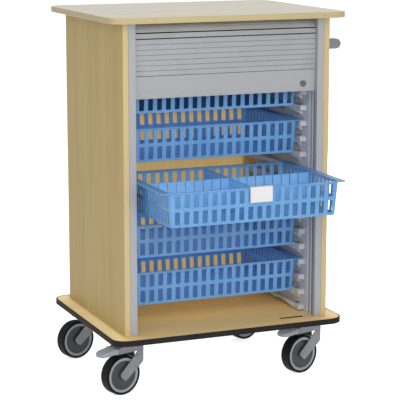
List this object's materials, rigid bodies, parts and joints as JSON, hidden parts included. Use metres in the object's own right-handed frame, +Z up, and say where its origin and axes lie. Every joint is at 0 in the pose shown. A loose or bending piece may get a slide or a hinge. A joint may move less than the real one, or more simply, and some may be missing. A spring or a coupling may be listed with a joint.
{
  "type": "mobile tray storage unit",
  "caption": "Mobile tray trolley: laminate carcass on swivel castors with a slatted front shutter, slide-out perforated baskets on side runners and a push handle.",
  "frame": {"origin": "on the floor under the middle of the bounding box, with the third basket pulled out", "axes": "+Z up, -Y towards the open front, +X towards the push handle"},
  "size_m": [0.8174, 0.7942, 1.161],
  "materials": {
    "maple_laminate": "satin melamine",
    "bumper_vinyl": "matt",
    "aluminium_profile": "anodised satin",
    "shutter_plastic": "satin",
    "liner_plastic": "satin",
    "basket_plastic": "satin",
    "label_plastic": "glossy",
    "label_card": "matt",
    "lock_steel": "nickel plated",
    "handle_plastic": "satin",
    "zinc_steel": "zinc plated",
    "tyre_rubber": "matt",
    "wheel_plastic": "satin",
    "pedal_plastic": "satin"
  },
  "bodies": {
    "carcass": {"base_board": "maple_laminate", "base_bumper": "bumper_vinyl", "castor_front_left_plate": "zinc_steel", "castor_front_right_plate": "zinc_steel", "castor_rear_left_plate": "zinc_steel", "castor_rear_right_plate": "zinc_steel", "front_profile_left": "aluminium_profile", "front_profile_right": "aluminium_profile", "inner_back_panel": "maple_laminate", "liner_left": "liner_plastic", "liner_right": "liner_plastic", "outer_back_panel": "maple_laminate", "push_handle_bar": "handle_plastic", "push_handle_bracket_front": "handle_plastic", "push_handle_bracket_rear": "handle_plastic", "shutter_stored_slats": "shutter_plastic", "shutter_track_left": "aluminium_profile", "shutter_track_right": "aluminium_profile", "side_panel_left": "maple_laminate", "side_panel_right": "maple_laminate", "top_board": "maple_laminate"},
    "shutter": {"shutter_bottom_rail": "aluminium_profile", "shutter_front_slats": "shutter_plastic"},
    "lock_cylinder": {"lock_cylinder": "lock_steel"},
    "lock_bolt": {"lock_bolt": "lock_steel"},
    "basket_1": {"basket_1": "basket_plastic"},
    "basket_2": {"basket_2": "basket_plastic"},
    "basket_3": {"basket_3": "basket_plastic", "divider_long": "basket_plastic", "divider_cross": "basket_plastic", "label_holder": "label_plastic", "label_card": "label_card"},
    "basket_4": {"basket_4": "basket_plastic"},
    "basket_5": {"basket_5": "basket_plastic"},
    "castor_front_left": {"castor_front_left_fork": "zinc_steel", "castor_front_left_axle": "zinc_steel"},
    "castor_front_left_wheel": {"castor_front_left_tyre": "tyre_rubber", "castor_front_left_wheel": "wheel_plastic"},
    "castor_front_left_pedal": {"castor_front_left_pedal": "pedal_plastic"},
    "castor_front_right": {"castor_front_right_fork": "zinc_steel", "castor_front_right_axle": "zinc_steel"},
    "castor_front_right_wheel": {"castor_front_right_tyre": "tyre_rubber", "castor_front_right_wheel": "wheel_plastic"},
    "castor_front_right_pedal": {"castor_front_right_pedal": "pedal_plastic"},
    "castor_rear_left": {"castor_rear_left_fork": "zinc_steel", "castor_rear_left_axle": "zinc_steel"},
    "castor_rear_left_wheel": {"castor_rear_left_tyre": "tyre_rubber", "castor_rear_left_wheel": "wheel_plastic"},
    "castor_rear_right": {"castor_rear_right_fork": "zinc_steel", "castor_rear_right_axle": "zinc_steel"},
    "castor_rear_right_wheel": {"castor_rear_right_tyre": "tyre_rubber", "castor_rear_right_wheel": "wheel_plastic"}
  },
  "joints": [
    {"name": "shutter_slide", "type": "slide", "parent": "carcass", "child": "shutter", "axis": [0, 0, 1], "range_m": [-0.235, 0]},
    {"name": "lock_turn", "type": "hinge", "parent": "shutter", "child": "lock_cylinder", "pos_m": [0.27917, -0.1672, 0.9378], "axis": [0, 1, 0], "range_deg": [0, 90]},
    {"name": "lock_bolt_slide", "type": "slide", "parent": "shutter", "child": "lock_bolt", "axis": [0, 0, -1], "range_m": [0, 0.0081]},
    {"name": "basket_1_slide", "type": "slide", "parent": "carcass", "child": "basket_1", "axis": [0, -1, 0], "range_m": [0, 0.05]},
    {"name": "basket_2_slide", "type": "slide", "parent": "carcass", "child": "basket_2", "axis": [0, -1, 0], "range_m": [0, 0.29]},
    {"name": "basket_3_slide", "type": "slide", "parent": "carcass", "child": "basket_3", "axis": [0, -1, 0], "range_m": [-0.29, 0.04]},
    {"name": "basket_4_slide", "type": "slide", "parent": "carcass", "child": "basket_4", "axis": [0, -1, 0], "range_m": [0, 0.29]},
    {"name": "basket_5_slide", "type": "slide", "parent": "carcass", "child": "basket_5", "axis": [0, -1, 0], "range_m": [0, 0.29]},
    {"name": "castor_front_left_swivel", "type": "hinge", "parent": "carcass", "child": "castor_front_left", "pos_m": [-0.28583, -0.1368, 0.1687], "axis": [0, 0, 1], "continuous": true},
    {"name": "castor_front_left_spin", "type": "hinge", "parent": "castor_front_left", "child": "castor_front_left_wheel", "pos_m": [-0.32424, -0.14796, 0.0625], "axis": [0.279, -0.9603, 0], "continuous": true},
    {"name": "castor_front_left_pedal_press", "type": "hinge", "parent": "castor_front_left", "child": "castor_front_left_pedal", "pos_m": [-0.35296, -0.1563, 0.14304], "axis": [0.279, -0.9603, 0], "range_deg": [0, 14]},
    {"name": "castor_front_right_swivel", "type": "hinge", "parent": "carcass", "child": "castor_front_right", "pos_m": [0.32617, -0.1368, 0.1687], "axis": [0, 0, 1], "continuous": true},
    {"name": "castor_front_right_spin", "type": "hinge", "parent": "castor_front_right", "child": "castor_front_right_wheel", "pos_m": [0.28776, -0.14796, 0.0625], "axis": [0.279, -0.9603, 0], "continuous": true},
    {"name": "castor_front_right_pedal_press", "type": "hinge", "parent": "castor_front_right", "child": "castor_front_right_pedal", "pos_m": [0.25904, -0.1563, 0.14304], "axis": [0.279, -0.9603, 0], "range_deg": [0, 14]},
    {"name": "castor_rear_left_swivel", "type": "hinge", "parent": "carcass", "child": "castor_rear_left", "pos_m": [-0.28583, 0.3011, 0.1687], "axis": [0, 0, 1], "continuous": true},
    {"name": "castor_rear_left_spin", "type": "hinge", "parent": "castor_rear_left", "child": "castor_rear_left_wheel", "pos_m": [-0.32424, 0.28994, 0.0625], "axis": [0.279, -0.9603, 0], "continuous": true},
    {"name": "castor_rear_right_swivel", "type": "hinge", "parent": "carcass", "child": "castor_rear_right", "pos_m": [0.32617, 0.3011, 0.1687], "axis": [0, 0, 1], "continuous": true},
    {"name": "castor_rear_right_spin", "type": "hinge", "parent": "castor_rear_right", "child": "castor_rear_right_wheel", "pos_m": [0.28776, 0.28994, 0.0625], "axis": [0.279, -0.9603, 0], "continuous": true}
  ],
  "couplings": [
    {"joint": "lock_bolt_slide", "follows": "lock_turn", "m_per_rad": 0.00509}
  ]
}
